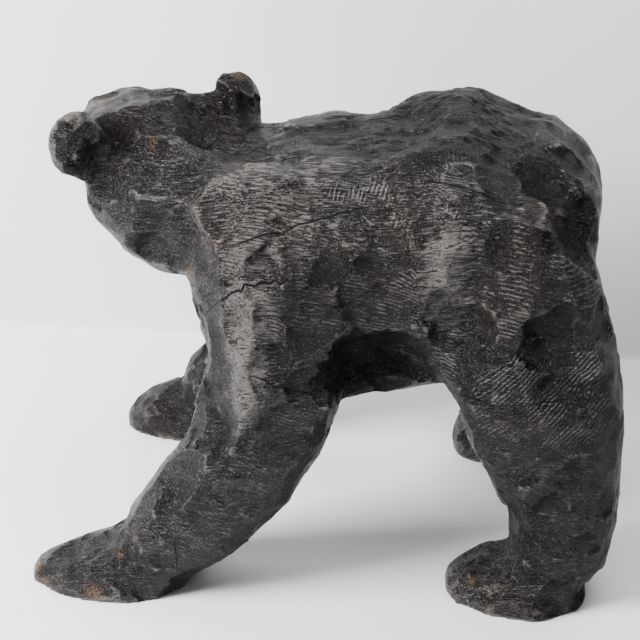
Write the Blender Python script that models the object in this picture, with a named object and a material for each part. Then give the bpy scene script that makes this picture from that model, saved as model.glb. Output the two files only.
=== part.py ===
"""A standing bear, carved from one block of timber with a chainsaw and stained near black.

Frame: +X towards the head, +Y the bear's left side, +Z up, in metres. The soles lie on z = 0
and the origin is the middle of the floor that the bear covers.

The masses are blocked out first: body, neck, head, ears, and four legs with their feet. They
are run together into one skin, hollowed and hewn with passes of a round tool, faceted, and cut
flat under the feet.
"""

import itertools
import math
import random
from typing import NamedTuple

import bmesh
import bpy
import numpy as np
from mathutils import Euler, Matrix, Vector

NAME = "carved_bear"

# How the masses are drawn: points round a ring, and how near a square each ring is.
RING_POINTS = 28
BOXINESS = 2.5
DOME_STEPS = 4
DOME_TURN = math.radians(80.0)

# How they are run together: the grain of the skin, the passes that smooth it over, and the
# wood left on it to be hewn away.
SKIN_VOXEL = 0.006
SKIN_SMOOTHING = 20
WOOD_TO_SPARE = 0.001

# A pass of the tool fades out where its width, squared, is this many times that on flat wood.
PASS_END = 2.0
# It leaves alone whatever stands higher than this above the skin it starts from.
PASS_REACH = 0.020

# The passes all over: how far apart, how round and how deep.
HEWING_SEED = 7
HEWING_SPACING = 0.036
HEWING_RADIUS = (0.080, 0.160)
HEWING_DEPTH = (0.0012, 0.0030)

# The faces that the skin is left with, and how near the floor it is pressed onto it.
FACETS = 9000
SOLE_SNAP = 0.0025

# How far each mass is rounded off beyond its first and last ring.
BODY_DOMES = (0.020, 0.024)
NECK_DOMES = (0.030, 0.030)
HEAD_DOMES = (0.025, 0.012)
LEG_DOMES = (0.038, 0.020)
PAW_DOMES = (0.028, 0.014)

# The head's pivot on the neck, how it is carried, and its ears, the left one being given.
HEAD_AT = (0.186, -0.012, 0.455)
HEAD_TURN = math.radians(-50.0)
HEAD_DROP = math.radians(10.0)
HEAD_TILT = math.radians(-1.0)
EAR_AT = (-0.010, 0.089, 0.024)
EAR_SIZE = (0.021, 0.037, 0.038)


class Ring(NamedTuple):
    """One cross-section: its middle, and its half sizes side to side and fore to aft."""

    x: float
    y: float
    z: float
    across: float
    along: float


def body_ring(x, y, top, underside, half_width):
    """A ring of the body, from the heights of its top and its underside."""
    return Ring(x, y, (top + underside) / 2, half_width, (top - underside) / 2)


BODY = (
    body_ring(-0.229, -0.004, 0.508, 0.398, 0.098),
    body_ring(-0.202, -0.008, 0.538, 0.290, 0.140),
    body_ring(-0.140, -0.008, 0.520, 0.254, 0.156),
    body_ring(-0.080, 0.000, 0.491, 0.222, 0.154),
    body_ring(-0.010, 0.000, 0.486, 0.204, 0.158),
    body_ring(0.050, 0.006, 0.486, 0.218, 0.154),
    body_ring(0.088, 0.006, 0.488, 0.250, 0.138),
    body_ring(0.104, 0.010, 0.484, 0.270, 0.100),
)
NECK = (
    Ring(0.060, -0.008, 0.365, 0.115, 0.104),
    Ring(0.118, -0.008, 0.392, 0.106, 0.084),
    Ring(0.184, -0.006, 0.420, 0.094, 0.076),
    Ring(0.213, -0.012, 0.438, 0.082, 0.064),
)
# In the head's own frame: +X to the nose, +Z to the crown, from its pivot.
HEAD = (
    Ring(-0.045, 0.000, 0.000, 0.062, 0.044),
    Ring(0.000, 0.000, -0.003, 0.088, 0.055),
    Ring(0.045, 0.000, -0.002, 0.072, 0.054),
    Ring(0.078, 0.000, -0.002, 0.055, 0.051),
    Ring(0.105, 0.000, -0.018, 0.043, 0.038),
    Ring(0.152, 0.000, -0.027, 0.036, 0.030),
)
LEFT_FORELEG = (
    Ring(0.076, 0.056, 0.432, 0.068, 0.072),
    Ring(0.064, 0.080, 0.390, 0.073, 0.082),
    Ring(0.045, 0.098, 0.340, 0.069, 0.078),
    Ring(0.038, 0.111, 0.275, 0.065, 0.076),
    Ring(0.059, 0.119, 0.220, 0.062, 0.073),
    Ring(0.087, 0.127, 0.155, 0.058, 0.067),
    Ring(0.136, 0.133, 0.090, 0.054, 0.062),
    Ring(0.182, 0.136, 0.045, 0.050, 0.048),
)
LEFT_FOREPAW = (
    Ring(0.172, 0.136, 0.018, 0.042, 0.040),
    Ring(0.206, 0.138, 0.012, 0.052, 0.050),
    Ring(0.242, 0.139, 0.006, 0.052, 0.036),
    Ring(0.280, 0.142, 0.002, 0.044, 0.024),
    Ring(0.310, 0.143, 0.002, 0.027, 0.016),
)
RIGHT_FORELEG = (
    Ring(0.052, -0.085, 0.388, 0.064, 0.066),
    Ring(0.046, -0.112, 0.340, 0.068, 0.074),
    Ring(0.040, -0.130, 0.285, 0.066, 0.074),
    Ring(0.058, -0.142, 0.215, 0.062, 0.072),
    Ring(0.085, -0.150, 0.150, 0.056, 0.062),
    Ring(0.126, -0.154, 0.090, 0.050, 0.057),
    Ring(0.166, -0.156, 0.050, 0.046, 0.054),
)
RIGHT_FOREPAW = (
    Ring(0.130, -0.154, 0.018, 0.041, 0.040),
    Ring(0.165, -0.157, 0.016, 0.046, 0.050),
    Ring(0.208, -0.158, 0.012, 0.046, 0.050),
    Ring(0.247, -0.158, 0.007, 0.040, 0.036),
    Ring(0.268, -0.158, 0.004, 0.029, 0.022),
)
LEFT_HINDLEG = (
    Ring(-0.176, 0.075, 0.425, 0.062, 0.070),
    Ring(-0.187, 0.095, 0.360, 0.068, 0.088),
    Ring(-0.208, 0.104, 0.290, 0.066, 0.089),
    Ring(-0.229, 0.108, 0.220, 0.062, 0.083),
    Ring(-0.248, 0.108, 0.150, 0.058, 0.067),
    Ring(-0.257, 0.108, 0.090, 0.054, 0.058),
    Ring(-0.253, 0.110, 0.050, 0.054, 0.056),
)
LEFT_HINDPAW = (
    Ring(-0.260, 0.106, 0.020, 0.052, 0.045),
    Ring(-0.225, 0.115, 0.012, 0.060, 0.048),
    Ring(-0.182, 0.117, 0.006, 0.051, 0.032),
    Ring(-0.149, 0.119, 0.003, 0.033, 0.020),
)
RIGHT_HINDLEG = (
    Ring(-0.176, -0.090, 0.420, 0.060, 0.070),
    Ring(-0.185, -0.114, 0.360, 0.066, 0.088),
    Ring(-0.200, -0.126, 0.290, 0.064, 0.090),
    Ring(-0.218, -0.137, 0.220, 0.060, 0.080),
    Ring(-0.236, -0.145, 0.150, 0.055, 0.065),
    Ring(-0.247, -0.149, 0.090, 0.050, 0.055),
    Ring(-0.247, -0.150, 0.050, 0.050, 0.053),
)
RIGHT_HINDPAW = (
    Ring(-0.262, -0.150, 0.018, 0.047, 0.042),
    Ring(-0.220, -0.152, 0.014, 0.052, 0.046),
    Ring(-0.180, -0.153, 0.010, 0.050, 0.040),
    Ring(-0.152, -0.154, 0.006, 0.040, 0.028),
)


class Cut(NamedTuple):
    """One pass of a round-nosed tool, by its place, the way out, its radius and its depth in the wood."""

    at: tuple
    out: tuple
    radius: float
    depth: float


# Broad hollows, worked before the wood is smoothed over.
HOLLOWS = (
    # Flank, cut back below a ledge that rises from the foreleg to the hip.
    Cut((0.030, 0.180, 0.370), (0.10, 1.00, -0.35), 0.060, 0.006),
    Cut((-0.005, 0.175, 0.390), (0.0, 1.00, -0.35), 0.060, 0.008),
    Cut((-0.040, 0.165, 0.405), (0.0, 1.00, -0.30), 0.060, 0.008),
    Cut((-0.075, 0.160, 0.420), (0.0, 1.00, -0.25), 0.060, 0.006),
    Cut((0.010, 0.180, 0.300), (-0.15, 1.00, -0.20), 0.080, 0.007),
    Cut((-0.035, 0.165, 0.345), (0.0, 1.00, -0.20), 0.080, 0.008),
    # Waist, between shoulder and hip.
    Cut((-0.066, 0.150, 0.310), (0.0, 1.00, -0.10), 0.100, 0.012),
    Cut((-0.068, 0.150, 0.262), (0.0, 0.97, -0.25), 0.100, 0.019),
    Cut((-0.072, -0.160, 0.310), (0.0, -1.00, -0.10), 0.090, 0.014),
    Cut((-0.078, -0.160, 0.255), (0.0, -0.95, -0.30), 0.080, 0.018),
    # Rump, each side of the spine, with the deep hollow by the tail.
    Cut((-0.235, 0.062, 0.430), (-0.62, 0.62, 0.48), 0.080, 0.012),
    Cut((-0.235, -0.078, 0.430), (-0.62, -0.62, 0.48), 0.080, 0.003),
    Cut((-0.212, 0.057, 0.470), (-0.55, 0.50, 0.65), 0.036, 0.012),
    # Nape, sunk between the head and the shoulders.
    Cut((0.150, 0.014, 0.485), (0.25, -0.15, 1.00), 0.034, 0.012),
    Cut((0.134, -0.020, 0.480), (0.25, -0.15, 1.00), 0.034, 0.014),
    Cut((0.116, -0.055, 0.478), (0.20, -0.20, 1.00), 0.036, 0.014),
)

# Flat passes that leave the edges of the shoulder and the foreleg.
FLATS = (
    Cut((0.100, 0.150, 0.370), (0.75, 0.66, 0.10), 0.450, 0.007),
    Cut((0.100, 0.155, 0.290), (0.75, 0.66, 0.05), 0.450, 0.007),
    Cut((0.130, 0.165, 0.200), (0.70, 0.66, 0.30), 0.400, 0.005),
    Cut((0.020, 0.160, 0.350), (-0.15, 1.00, 0.10), 0.500, 0.006),
    Cut((0.030, 0.165, 0.250), (-0.10, 1.00, 0.00), 0.500, 0.005),
    Cut((-0.210, 0.165, 0.330), (-0.25, 1.00, 0.10), 0.500, 0.005),
    Cut((-0.160, 0.160, 0.300), (0.55, 0.80, 0.05), 0.400, 0.005),
    Cut((-0.020, 0.000, 0.480), (0.10, 0.06, 1.00), 0.800, 0.003),
    Cut((-0.130, 0.010, 0.510), (0.05, 0.06, 1.00), 0.800, 0.003),
)

# The same, in the head's own frame.
HEAD_CUTS = (
    # Back of the head, each side of the nape ridge.
    Cut((-0.055, 0.040, 0.025), (-0.75, 0.50, 0.45), 0.090, 0.008),
    Cut((-0.050, -0.034, 0.025), (-0.70, -0.45, 0.55), 0.045, 0.013),
    # Flat crown, and the dip from the brow to the muzzle.
    Cut((0.020, 0.000, 0.060), (0.0, 0.0, 1.0), 0.300, 0.004),
    Cut((0.108, 0.000, 0.030), (0.55, 0.0, 0.85), 0.070, 0.006),
    # Ear hollows.
    Cut((0.014, 0.093, 0.028), (1.0, 0.15, 0.0), 0.026, 0.007),
    Cut((0.014, -0.093, 0.028), (1.0, -0.15, 0.0), 0.026, 0.007),
    # Eye hollows.
    Cut((0.080, 0.040, 0.010), (0.60, 0.78, 0.20), 0.020, 0.005),
    Cut((0.080, -0.040, 0.010), (0.60, -0.78, 0.20), 0.020, 0.005),
)



def clear_scene():
    """Remove the objects that the file starts with."""
    for obj in list(bpy.data.objects):
        bpy.data.objects.remove(obj, do_unlink=True)


def rounded(angle):
    """A point on a unit outline between a circle and a square."""
    cosine, sine = math.cos(angle), math.sin(angle)
    power = 2.0 / BOXINESS
    return (
        math.copysign(abs(cosine) ** power, cosine),
        math.copysign(abs(sine) ** power, sine),
    )


def path_directions(rings):
    """The way the path runs at each ring."""
    middles = [Vector(ring[:3]) for ring in rings]
    last = len(middles) - 1
    return [
        (middles[min(i + 1, last)] - middles[max(i - 1, 0)]).normalized()
        for i in range(len(middles))
    ]


def domed(rings, directions, reach, at_start):
    """The shrinking rings that round off one end of a mass."""
    ring, direction = (rings[0], -directions[0]) if at_start else (rings[-1], directions[-1])
    dome = []
    for step in range(1, DOME_STEPS + 1):
        turn = DOME_TURN * step / DOME_STEPS
        middle = Vector(ring[:3]) + direction * reach * math.sin(turn)
        dome.append(Ring(*middle, ring.across * math.cos(turn), ring.along * math.cos(turn)))
    return dome[::-1] if at_start else dome


def add_mass(bm, rings, domes, place=Matrix.Identity(4)):
    """Loft a closed mass through its rings, with both ends rounded."""
    directions = path_directions(rings)
    start = domed(rings, directions, domes[0], True)
    end = domed(rings, directions, domes[1], False)
    whole = start + list(rings) + end
    whole_directions = [directions[0]] * len(start) + directions + [directions[-1]] * len(end)
    loops = []
    for ring, direction in zip(whole, whole_directions):
        side = (Vector((0, 1, 0)) - direction * direction.y).normalized()
        fore = direction.cross(side)
        loop = []
        for step in range(RING_POINTS):
            out, up = rounded(2 * math.pi * step / RING_POINTS)
            point = Vector(ring[:3]) + side * ring.across * out + fore * ring.along * up
            loop.append(bm.verts.new(place @ point))
        loops.append(loop)
    for before, after in zip(loops, loops[1:]):
        for step in range(RING_POINTS):
            following = (step + 1) % RING_POINTS
            bm.faces.new((before[step], before[following], after[following], after[step]))
    bm.faces.new(loops[0][::-1])
    bm.faces.new(loops[-1])


def head_place():
    """Where the head sits: turned to the bear's right, nose a little down."""
    carried = Euler((HEAD_TILT, HEAD_DROP, HEAD_TURN), "XYZ").to_matrix().to_4x4()
    return Matrix.Translation(HEAD_AT) @ carried


def head_cut(cut):
    """A cut given in the head's frame, turned and moved with the head."""
    place = head_place()
    return Cut(place @ Vector(cut.at), place.to_3x3() @ Vector(cut.out), cut.radius, cut.depth)


def add_ear(bm, side):
    """A thick round ear at the back corner of the head; side is 1 for the left and -1 for the right."""
    place = head_place() @ Matrix.Translation((EAR_AT[0], side * EAR_AT[1], EAR_AT[2]))
    shape = Matrix.Diagonal((*EAR_SIZE, 1.0))
    bmesh.ops.create_icosphere(bm, subdivisions=3, radius=1.0, matrix=place @ shape)


def block_out():
    """All the masses, as closed bodies that run into one another."""
    bm = bmesh.new()
    add_mass(bm, BODY, BODY_DOMES)
    add_mass(bm, NECK, NECK_DOMES)
    add_mass(bm, HEAD, HEAD_DOMES, head_place())
    for side in (1, -1):
        add_ear(bm, side)
    for leg in (LEFT_FORELEG, RIGHT_FORELEG, LEFT_HINDLEG, RIGHT_HINDLEG):
        add_mass(bm, leg, LEG_DOMES)
    for paw in (LEFT_FOREPAW, RIGHT_FOREPAW, LEFT_HINDPAW, RIGHT_HINDPAW):
        add_mass(bm, paw, PAW_DOMES)
    bmesh.ops.recalc_face_normals(bm, faces=bm.faces)
    mesh = bpy.data.meshes.new("blocked_out")
    bm.to_mesh(mesh)
    bm.free()
    return mesh


def worked(mesh, modifiers):
    """The mesh after a list of modifiers, each given as its kind and its settings."""
    obj = bpy.data.objects.new("at_work", mesh)
    bpy.context.scene.collection.objects.link(obj)
    for kind, settings in modifiers:
        modifier = obj.modifiers.new(kind.title(), kind)
        for setting, value in settings.items():
            setattr(modifier, setting, value)
    depsgraph = bpy.context.evaluated_depsgraph_get()
    result = bpy.data.meshes.new_from_object(obj.evaluated_get(depsgraph))
    bpy.data.objects.remove(obj, do_unlink=True)
    return result


def carve(mesh, cuts):
    """Press the skin down to the floor of each pass, whose depth is taken from the skin nearest its place."""
    points = np.empty(len(mesh.vertices) * 3)
    normals = np.empty(len(mesh.vertices) * 3)
    mesh.vertices.foreach_get("co", points)
    mesh.vertices.foreach_get("normal", normals)
    points, normals = points.reshape(-1, 3), normals.reshape(-1, 3)
    for cut in cuts:
        out = np.array(cut.out) / np.linalg.norm(cut.out)
        offset = points - np.array(cut.at)
        apart = (offset ** 2).sum(axis=1)
        height = offset @ out
        sideways = apart - height ** 2
        facing = normals @ out > 0.0
        skin = height[np.where(facing, apart, np.inf).argmin()]
        floor = skin - cut.depth + cut.radius - np.sqrt(np.clip(cut.radius ** 2 - sideways, 0.0, None))
        width = 2.0 * cut.radius * cut.depth
        hold = np.clip(PASS_END - sideways / width, 0.0, 1.0) * facing
        touched = (hold > 0.0) & (height > floor) & (height < skin + PASS_REACH)
        points[touched] += np.outer(((floor - height) * hold)[touched], out)
    mesh.vertices.foreach_set("co", points.ravel())
    mesh.update()


def hewing(mesh):
    """Passes spread evenly over the skin, each square to it, at places drawn with a fixed seed."""
    draw = random.Random(HEWING_SEED)
    vertices = list(mesh.vertices)
    draw.shuffle(vertices)
    taken = {}
    cuts = []
    for vertex in vertices:
        x, y, z = (math.floor(value / HEWING_SPACING) for value in vertex.co)
        cells = itertools.product((x - 1, x, x + 1), (y - 1, y, y + 1), (z - 1, z, z + 1))
        near = itertools.chain.from_iterable(taken.get(cell, ()) for cell in cells)
        if any((vertex.co - place).length < HEWING_SPACING for place in near):
            continue
        taken.setdefault((x, y, z), []).append(vertex.co)
        radius = draw.uniform(*HEWING_RADIUS)
        depth = draw.uniform(*HEWING_DEPTH)
        cuts.append(Cut(vertex.co.copy(), vertex.normal.copy(), radius, depth))
    return cuts


def cut_soles(mesh):
    """Cut the feet flat at the floor, and close the cuts."""
    bm = bmesh.new()
    bm.from_mesh(mesh)
    for vertex in bm.verts:
        if abs(vertex.co.z) < SOLE_SNAP:
            vertex.co.z = 0.0
    everything = bm.verts[:] + bm.edges[:] + bm.faces[:]
    bmesh.ops.bisect_plane(bm, geom=everything, dist=1e-5, plane_co=(0, 0, 0),
                           plane_no=(0, 0, 1), clear_inner=True)
    rims = [edge for edge in bm.edges if edge.is_boundary]
    bmesh.ops.holes_fill(bm, edges=rims, sides=0)
    bmesh.ops.triangulate(bm, faces=bm.faces)
    bmesh.ops.recalc_face_normals(bm, faces=bm.faces)
    bm.to_mesh(mesh)
    bm.free()


def centre_on_floor(mesh):
    """Move the bear so that the origin is the middle of the floor that it covers."""
    corners = [vertex.co for vertex in mesh.vertices]
    low = Vector([min(corner[axis] for corner in corners) for axis in range(3)])
    high = Vector([max(corner[axis] for corner in corners) for axis in range(3)])
    mesh.transform(Matrix.Translation(-Vector(((low.x + high.x) / 2, (low.y + high.y) / 2, low.z))))


def stained_wood():
    """Near-black stain on timber, with a low sheen."""
    material = bpy.data.materials.new("dark_stained_wood")
    material.use_nodes = True
    shader = material.node_tree.nodes["Principled BSDF"]
    shader.inputs["Base Color"].default_value = (0.040, 0.035, 0.032, 1.0)
    shader.inputs["Roughness"].default_value = 0.5
    shader.inputs["Metallic"].default_value = 0.0
    return material


def main():
    clear_scene()
    rough = worked(block_out(), (("REMESH", {"mode": "VOXEL", "voxel_size": SKIN_VOXEL}),))
    carve(rough, HOLLOWS)
    skin = worked(rough, (
        ("SMOOTH", {"factor": 0.5, "iterations": SKIN_SMOOTHING}),
        ("DISPLACE", {"strength": WOOD_TO_SPARE, "mid_level": 0.0}),
    ))
    carve(skin, FLATS)
    carve(skin, [head_cut(cut) for cut in HEAD_CUTS])
    carve(skin, hewing(skin))
    faceted = worked(skin, (
        ("TRIANGULATE", {}),
        ("DECIMATE", {"ratio": FACETS / (2 * len(skin.polygons))}),
    ))
    cut_soles(faceted)
    centre_on_floor(faceted)
    faceted.name = NAME
    faceted.materials.clear()
    faceted.materials.append(stained_wood())
    bear = bpy.data.objects.new(NAME, faceted)
    bpy.context.scene.collection.objects.link(bear)


main()
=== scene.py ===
import logging
import math
from dataclasses import dataclass, field
from enum import Enum
from typing import Mapping, Sequence, Union

import bmesh
import bpy
import numpy as np
from mathutils import Euler, Matrix, Vector
from mathutils.bvhtree import BVHTree


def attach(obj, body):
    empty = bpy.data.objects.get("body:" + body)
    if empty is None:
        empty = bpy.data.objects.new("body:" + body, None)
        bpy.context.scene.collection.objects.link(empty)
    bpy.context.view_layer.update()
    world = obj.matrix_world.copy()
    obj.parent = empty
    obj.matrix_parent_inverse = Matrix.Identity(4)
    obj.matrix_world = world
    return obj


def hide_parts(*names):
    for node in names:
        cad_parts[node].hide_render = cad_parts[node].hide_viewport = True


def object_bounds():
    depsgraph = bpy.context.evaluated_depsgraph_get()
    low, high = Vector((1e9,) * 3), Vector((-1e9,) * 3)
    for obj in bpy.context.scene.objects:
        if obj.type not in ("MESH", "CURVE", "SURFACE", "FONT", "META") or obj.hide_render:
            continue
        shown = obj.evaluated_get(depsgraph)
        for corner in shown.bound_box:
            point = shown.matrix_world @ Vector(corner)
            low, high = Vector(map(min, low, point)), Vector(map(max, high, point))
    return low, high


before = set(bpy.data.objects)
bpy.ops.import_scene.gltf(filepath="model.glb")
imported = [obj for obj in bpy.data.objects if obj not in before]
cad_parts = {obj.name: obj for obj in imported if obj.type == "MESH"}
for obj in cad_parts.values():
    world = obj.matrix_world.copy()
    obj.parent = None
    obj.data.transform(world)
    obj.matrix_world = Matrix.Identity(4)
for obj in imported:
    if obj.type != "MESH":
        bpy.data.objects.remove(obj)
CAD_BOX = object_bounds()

"""A standing bear hewn from one timber with a chainsaw, stained near black and lightly waxed.

The skin starts from the solid of the frame. Deliberate cuts come first, then gouge marks all
over, then the rough-sawn back, and last the marks that the finish reads: where each gouge
stroke runs, where the wood stands proud and wears, and where it has cracked in drying.
"""

log = logging.getLogger("carved_bear")

Point = tuple[float, float, float]
Colour = tuple[float, float, float, float]
Step = tuple[float, float]
Shares = tuple[tuple[str, float], ...]
Socket = bpy.types.NodeSocket
Value = Union[Socket, float, int, bool, Point, Colour, str]

RIPPLE_PITCH = 0.0042
HAIR_CRACK = 0.0011


# --------------------------------------------------------------------------- node trees


class Plug(Enum):
    """The kinds of input and output that a node group here can have."""

    NUMBER = "NodeSocketFloat"
    COUNT = "NodeSocketInt"
    SKIN = "NodeSocketGeometry"
    FINISH = "NodeSocketMaterial"


class Attribute(Enum):
    """What the carver leaves on the skin, for the later strokes and for the finish to read."""

    WAY = "stroke_way"
    SCOOP = "scoop_depth"
    SAWN = "sawn_face"
    RIPPLE = "ripple_height"
    PHASE = "ripple_phase"
    SHADE = "stroke_shade"
    CLEAR = "clear_of_ridges"
    # How much painted sheen each place gets, in place of how brightly its facets catch the light.
    SHEEN_SHARE = "dry_stain"
    FIRST = "first_place"
    OUT = "way_out"
    PROUD = "proud_edge"
    CRACK_SIDE = "crack_side"
    CRACK_NEAR = "crack_near"
    WORN = "worn_place"

    @property
    def kind(self) -> str:
        """Its data type: the places and ways are vectors, and the rest are numbers."""
        return "FLOAT_VECTOR" if self in (Attribute.WAY, Attribute.FIRST, Attribute.OUT) else "FLOAT"


class Graph:
    """A node tree that is being wired."""

    def __init__(self, tree: bpy.types.NodeTree) -> None:
        """Start from a tree."""
        self.tree = tree

    def add(self, kind: str, inputs: Mapping[Union[str, int], Value] | None = None,
            **settings: object) -> bpy.types.Node:
        """Add a node, set it up and feed its inputs.

        Args:
            kind: The node's type name.
            inputs: A value or a socket for each named or numbered input.
            settings: The node's own settings.

        Returns:
            The new node.
        """
        node = self.tree.nodes.new(kind)
        for name, value in settings.items():
            setattr(node, name, value)
        for key, value in (inputs or {}).items():
            self.feed(node.inputs[key], value)
        return node

    def take(self, kind: str, inputs: Mapping[Union[str, int], Value] | None = None,
             **settings: object) -> Socket:
        """Add a node like add() does, for its first output only."""
        return self.add(kind, inputs, **settings).outputs[0]

    def feed(self, socket: Socket, value: Value) -> None:
        """Link a socket to an input, or set the input to a plain value.

        Args:
            socket: The input.
            value: What it takes.
        """
        if isinstance(value, Socket):
            self.tree.links.new(value, socket)
        else:
            socket.default_value = value

    def place(self) -> Socket:
        """Where each point is, in the piece's own coordinates."""
        if self.tree.type == "GEOMETRY":
            return self.take("GeometryNodeInputPosition")
        return self.add("ShaderNodeTexCoord").outputs["Object"]

    def math(self, operation: str, *values: Value, clamp: bool = False) -> Socket:
        """One step of arithmetic on numbers in order, held between 0 and 1 where it is clamped."""
        return self.take("ShaderNodeMath", dict(enumerate(values)), operation=operation, use_clamp=clamp)

    def plus(self, first: Value, second: Value) -> Socket:
        """The sum of two numbers."""
        return self.math("ADD", first, second)

    def times(self, first: Value, second: Value) -> Socket:
        """The product of two numbers."""
        return self.math("MULTIPLY", first, second)

    def less(self, first: Value, second: Value) -> Socket:
        """The first number less the second."""
        return self.math("SUBTRACT", first, second)

    def vector(self, operation: str, *values: Value) -> Socket:
        """One step of vector arithmetic, which gives a number for a dot product, else a vector."""
        node = self.add("ShaderNodeVectorMath", dict(enumerate(values)), operation=operation)
        return node.outputs["Value" if operation == "DOT_PRODUCT" else "Vector"]

    def scaled(self, vector: Value, factor: Value) -> Socket:
        """A vector made longer or shorter by a factor."""
        return self.take("ShaderNodeVectorMath", {0: vector, "Scale": factor}, operation="SCALE")

    def squeezed(self, vector: Value, factor: Value) -> Socket:
        """A vector shortened along the timber, which draws what is read there out lengthwise."""
        along = self.take("ShaderNodeCombineXYZ", {"X": factor, "Y": 1.0, "Z": 1.0})
        return self.vector("MULTIPLY", vector, along)

    def total(self, shares: Shares, parts: Mapping[str, Value]) -> Socket:
        """A sum of values, each with its own share.

        Args:
            shares: The name and the share of each value that counts.
            parts: The values by name.

        Returns:
            The sum.
        """
        (name, share), *others = shares
        whole = self.times(parts[name], share)
        for name, share in others:
            whole = self.math("MULTIPLY_ADD", parts[name], share, whole)
        return whole

    def mixed(self, factor: Value, first: Value, second: Value) -> Socket:
        """The first colour with a factor of the second over it."""
        return self.add("ShaderNodeMix", {0: factor, 6: first, 7: second}, data_type="RGBA").outputs[2]

    def noise(self, place: Value, scale: Value, detail: float = 2.0, rough: float = 0.5) -> Socket:
        """Cloudy noise round 0.5: how fine it is, and how many finer layers it has and how strong."""
        return self.take("ShaderNodeTexNoise", {
            "Vector": place, "Scale": scale, "Detail": detail, "Roughness": rough})

    def ramp(self, value: Value, low: Value, high: Value) -> Socket:
        """A smooth step, 0 up to a low value and 1 from a high one."""
        return self.take("ShaderNodeMapRange", {"Value": value, "From Min": low, "From Max": high},
                        interpolation_type="SMOOTHSTEP")

    def bend(self, distance: Value, radius: Value) -> Socket:
        """How far a round of a radius has risen at a distance from its lowest point."""
        return self.math("DIVIDE", self.times(distance, distance), self.times(radius, 2.0))

    def read(self, attribute: Attribute) -> Socket:
        """An attribute of the skin, in a material."""
        return self.add("ShaderNodeAttribute", attribute_name=attribute.value).outputs["Fac"]

    def named(self, attribute: Attribute) -> Socket:
        """An attribute of the skin, in a geometry tree."""
        return self.take("GeometryNodeInputNamedAttribute", {"Name": attribute.value},
                         data_type=attribute.kind)

    def stored(self, skin: Socket, attribute: Attribute, value: Socket, chosen: Value = True) -> Socket:
        """The skin with an attribute stored on its chosen points, in a geometry tree."""
        return self.take("GeometryNodeStoreNamedAttribute", {
            "Geometry": skin, "Selection": chosen, "Name": attribute.value, "Value": value},
            data_type=attribute.kind, domain="POINT")

    def group(self, tree: bpy.types.ShaderNodeTree,
              inputs: Mapping[str, Value] | None = None) -> bpy.types.bpy_prop_collection:
        """Place a node group, feed its inputs and give its outputs."""
        return self.add("ShaderNodeGroup", inputs, node_tree=tree).outputs

    def end(self, **outputs: Socket) -> bpy.types.NodeTree:
        """Close a group with what each of its outputs gives, and hand over its tree."""
        self.add("NodeGroupOutput", outputs)
        return self.tree

    def end_skin(self, skin: Socket, finish: Socket) -> bpy.types.GeometryNodeTree:
        """Close a group that works a skin, with the skin realised and dressed.

        Args:
            skin: The worked skin.
            finish: Its material.

        Returns:
            The group's tree.
        """
        whole = self.take("GeometryNodeRealizeInstances", {"Geometry": skin})
        dressed = self.take("GeometryNodeSetMaterial", {"Geometry": whole, "Material": finish})
        return self.end(Geometry=dressed)


Opened = tuple[Graph, bpy.types.bpy_prop_collection]


def opened(name: str, kind: str, inputs: Mapping[str, Union[float, int, Plug]],
           outputs: Mapping[str, Plug]) -> Opened:
    """A new node group with named inputs and outputs.

    Args:
        name: The group's name.
        kind: The type of tree.
        inputs: The first value of each input, or its kind where it has none.
        outputs: The kind of each output.

    Returns:
        The graph of the group, and what it is given.
    """
    tree = bpy.data.node_groups.new(name, kind)
    for label, start in inputs.items():
        plug = start if isinstance(start, Plug) else Plug.COUNT if isinstance(start, int) else Plug.NUMBER
        socket = tree.interface.new_socket(label, in_out="INPUT", socket_type=plug.value)
        if plug is not start:
            socket.default_value = start
    for label, plug in outputs.items():
        tree.interface.new_socket(label, in_out="OUTPUT", socket_type=plug.value)
    graph = Graph(tree)
    return graph, graph.add("NodeGroupInput").outputs


def skin_group(name: str, inputs: Mapping[str, Union[float, int]]) -> Opened:
    """A new geometry group that takes a skin and a finish with its own inputs, and gives a skin."""
    return opened(name, "GeometryNodeTree", {"Geometry": Plug.SKIN, **inputs, "Finish": Plug.FINISH},
                  {"Geometry": Plug.SKIN})


def effect_group(name: str, inputs: Mapping[str, float], *outputs: str) -> Opened:
    """A new shader group whose outputs are all numbers."""
    return opened(name, "ShaderNodeTree", inputs, dict.fromkeys(outputs, Plug.NUMBER))


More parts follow.
